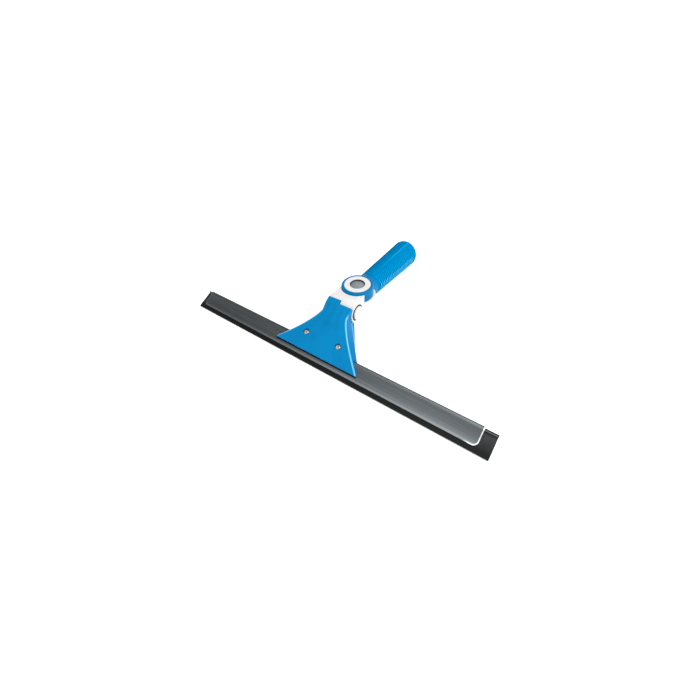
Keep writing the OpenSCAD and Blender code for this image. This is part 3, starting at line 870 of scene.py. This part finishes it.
# ---------------------------------------------------------------- button
BUTTON_R = 8.55 * MM
BUTTON_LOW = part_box("swivel_button")[0].z
STEM_R = 8.1 * MM
SHADE_RING_TOP = cap_top - 0.15 * MM
SHADE_RING_DEPTH = 1 * MM
CROWN_TOP = cap_top - 0.2 * MM
CROWN_DROP = 1.6 * MM
CROWN_STEPS = 20
STEM_DROP = 0.2 * MM
SHADE_RING_LIP_DROP = 0.2 * MM
AXIS_R = 0.01 * MM


def make_button():
    """The button's plain stem with its domed crown, and a dark ring round it that is painted shade in the
    gap.
    """
    foot = CROWN_TOP - CROWN_DROP
    outline = [(AXIS_R, BUTTON_LOW), (STEM_R, BUTTON_LOW), (STEM_R, foot - STEM_DROP)]
    for i in range(CROWN_STEPS + 1):
        out = 1 - i / CROWN_STEPS
        outline.append((STEM_R * out + AXIS_R, CROWN_TOP - CROWN_DROP * out ** 2))
    piece = lathe("button", outline, "button", BUTTON, SWIVEL_LINE)
    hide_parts("swivel_button")
    # A dark ring in the gap round the button, painted shade for the gap's shadow
    middle_r, half = (BUTTON_R + STEM_R) / 2, (BUTTON_R - STEM_R) / 2
    bottom = foot - SHADE_RING_DEPTH
    ring = [(BUTTON_R, bottom)] + arc((middle_r, SHADE_RING_TOP - SHADE_RING_LIP_DROP), half, 0, 180, 8)
    ring += [(STEM_R, bottom), (BUTTON_R, bottom)]
    lathe("button_gap_shade_ring", ring, "button", GREY, SWIVEL_LINE)


def make_spring():
    """The button's spring stands in the knuckle, on a mesh of its own."""
    spring = bpy.data.objects.new("spring", frame["nodes"]["button_spring"].data.copy())
    scene.collection.objects.link(spring)
    finish_mesh(spring, 60)
    spring.data.materials.clear()
    spring.data.materials.append(STEEL)
    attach(spring, "knuckle")
    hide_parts("button_spring")
    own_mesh(spring)


# ---------------------------------------------------------------- the rest: CAD nodes, edges rounded
CUT_FACE_TILT = 0.2

softened("blade", "rubber_blade", "blade_head", RUBBER, 0.12 * MM, segments=2)
channel = softened("channel", "blade_channel", "blade_head", CHANNEL, 0.2 * MM, angle=50, segments=2)
# The ends and their bevels get the bright cut metal, partly a painted highlight
channel.data.materials.append(CUT_METAL)
for polygon in channel.data.polygons:
    polygon.material_index = int(abs(polygon.normal.x) > CUT_FACE_TILT)
softened("white_knuckle", "knuckle", "knuckle", WHITE, 0.5 * MM)
softened("white_cap", "hub_cap", "knuckle", WHITE, 0.3 * MM)
softened("ring_and_neck", "handle_core", "handle", BLUE, 0.35 * MM)
softened("liner", "socket_liner", "handle", LINER_BLUE, 0.4 * MM)
make_button()
softened("screws", "clamp_screws", "blade_head", SCREW_STEEL, 0.12 * MM, segments=2)
softened("nuts", "clamp_nuts", "blade_head", STEEL, 0.2 * MM, segments=2)
# The sleeves' near-black steel is partly painted shade of the gap
softened("end_sleeves", "tilt_sleeves", "knuckle", SLEEVE_STEEL_AND_SHADE, 0.15 * MM, segments=2)
softened("end_caps", "pin_caps", "knuckle", WHITE, 0.35 * MM)
softened("plug", "spring_plug", "knuckle", PALE, 0.2 * MM)
make_spring()

for node, material in (("channel_pin", STEEL), ("tilt_pin", STEEL), ("friction_washers", STEEL),
                       ("glide_ring", GREY), ("lock_ring", GREY)):
    slots = frame["nodes"][node].data.materials
    slots.clear()
    slots.append(material)


# ---------------------------------------------------------------- floor, light and camera
# Half the floor's width, in metres
FLOOR_HALF = 60.0
# The world's light changes between these Z and X values of the unit vector towards it
WORLD_HEIGHTS = (0.06, 0.24)
WORLD_SIDES = (-0.8, 0.5)
# The camera's angles in degrees, its distance in metres from its aim, and its lens in millimetres
VIEW_AZIMUTH = 36.13
VIEW_ELEVATION = 48.63
VIEW_ROLL = 2.96
VIEW_DISTANCE = 0.3294
VIEW_AIM = swivel + Vector((24.42 * MM, -53.78 * MM, 0))
LENS = 15.43
SENSOR = 36


def make_floor():
    """A plain pale floor that reaches past the view, a little bright of its own."""
    corners = [(x * FLOOR_HALF, y * FLOOR_HALF, 0) for x, y in ((-1, -1), (1, -1), (1, 1), (-1, 1))]
    mesh = bpy.data.meshes.new("floor")
    mesh.from_pydata(corners, [], [(0, 1, 2, 3)])
    floor = bpy.data.objects.new("floor", mesh)
    scene.collection.objects.link(floor)
    made = Nodes("pale_floor")
    made.colour(made.ramp(made.noise(3, 2), [(0.3, (0.93, 0.93, 0.93)), (0.7, (0.95, 0.95, 0.95))]))
    made.set(Roughness=0.9, Emission_Color=(1, 1, 1, 1), Emission_Strength=0.35)
    mesh.materials.append(made.material)


def soft_sun(name, azimuth, elevation, strength, spread):
    """A wide, even light from one side of the studio; the spread is its apparent size in degrees."""
    data = bpy.data.lights.new(name, "SUN")
    data.energy = strength
    data.angle = math.radians(spread)
    light = bpy.data.objects.new(name, data)
    scene.collection.objects.link(light)
    light.rotation_mode = "QUATERNION"
    light.rotation_quaternion = (-direction(azimuth, elevation)).to_track_quat("-Z", "Y")


def direction(azimuth, elevation):
    """Unit vector from the object towards a viewer; azimuth 0 is in front of the blade."""
    a, e = math.radians(azimuth), math.radians(elevation)
    return Vector((math.sin(a) * math.cos(e), -math.cos(a) * math.cos(e), math.sin(e)))


def make_world(horizon, left, right):
    """A studio, lighter on the right and at the horizon as a light, with a plain white backdrop."""
    world = bpy.data.worlds.new("studio")
    world.use_nodes = True
    nodes, links = world.node_tree.nodes, world.node_tree.links
    place = nodes.new("ShaderNodeTexCoord")
    parts = nodes.new("ShaderNodeSeparateXYZ")
    height = nodes.new("ShaderNodeMapRange")
    height.inputs["From Min"].default_value, height.inputs["From Max"].default_value = WORLD_HEIGHTS
    height.inputs["To Min"].default_value = horizon
    side = nodes.new("ShaderNodeMapRange")
    side.inputs["From Min"].default_value, side.inputs["From Max"].default_value = WORLD_SIDES
    side.inputs["To Min"].default_value = left
    side.inputs["To Max"].default_value = right
    seen = nodes.new("ShaderNodeLightPath")
    backdrop = nodes.new("ShaderNodeMix")
    backdrop.inputs["B"].default_value = horizon
    background = nodes["Background"]
    background.inputs["Color"].default_value = (1, 1, 1, 1)
    links.new(place.outputs["Generated"], parts.inputs["Vector"])
    links.new(parts.outputs["X"], side.inputs["Value"])
    links.new(side.outputs["Result"], height.inputs["To Max"])
    links.new(parts.outputs["Z"], height.inputs["Value"])
    links.new(seen.outputs["Is Camera Ray"], backdrop.inputs["Factor"])
    links.new(height.outputs["Result"], backdrop.inputs["A"])
    links.new(backdrop.outputs["Result"], background.inputs["Strength"])
    scene.world = world


def make_camera():
    """The camera: above the blade, a little to its right, rolled by a few degrees."""
    data = bpy.data.cameras.new("camera")
    data.sensor_width = SENSOR
    data.lens = LENS
    data.clip_start = 0.01
    camera = bpy.data.objects.new("camera", data)
    scene.collection.objects.link(camera)
    back = direction(VIEW_AZIMUTH, VIEW_ELEVATION)
    camera.location = VIEW_AIM + back * VIEW_DISTANCE
    camera.rotation_mode = "QUATERNION"
    level = (-back).to_track_quat("-Z", "Y")
    roll = Matrix.Rotation(math.radians(-VIEW_ROLL), 4, "Z").to_quaternion()
    camera.rotation_quaternion = level @ roll
    scene.camera = camera


make_floor()
make_world(horizon=1.02, left=0.16, right=0.8)
soft_sun("key", azimuth=100, elevation=46, strength=2.0, spread=25)
soft_sun("fill", azimuth=-20, elevation=62, strength=0.35, spread=60)
soft_sun("top", azimuth=120, elevation=82, strength=0.9, spread=40)
make_camera()
scene.view_settings.view_transform = "Standard"
scene.view_settings.look = "None"
